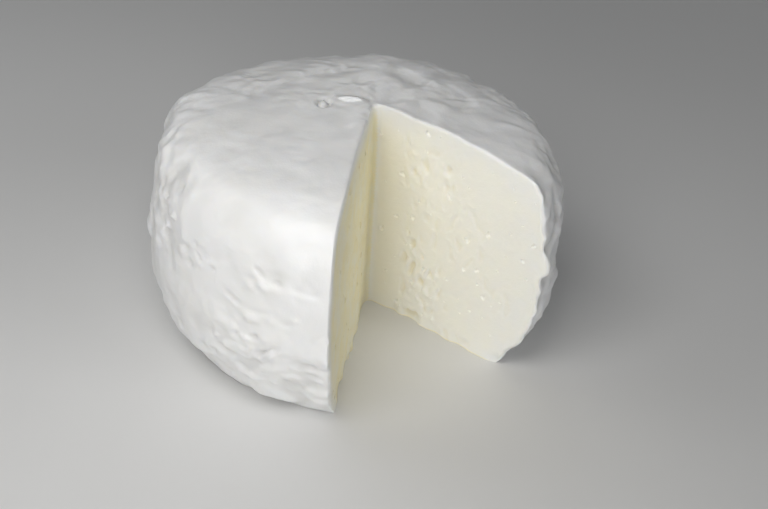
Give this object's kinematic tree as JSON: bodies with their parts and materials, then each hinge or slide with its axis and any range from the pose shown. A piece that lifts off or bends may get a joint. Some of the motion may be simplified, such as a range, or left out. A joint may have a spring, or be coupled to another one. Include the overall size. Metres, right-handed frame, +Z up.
{
  "type": "goat cheese",
  "caption": "Fresh white goat cheese: a standing drum with a rounded shoulder and an undercut foot, with a wedge cut out of it down to the base.",
  "frame": {"origin": "centre of the bounding box on the surface that the cheese stands on", "axes": "+Z up along the axis of the drum, which is its shortest extent; the missing wedge opens to -Y, the front, and to +X"},
  "size_m": [0.1303, 0.1296, 0.0744],
  "materials": {
    "cheese": "satin white skin, cream curd with small holes on the cut faces"
  },
  "bodies": {
    "root": {"goat_cheese": "cheese"}
  },
  "joints": []
}
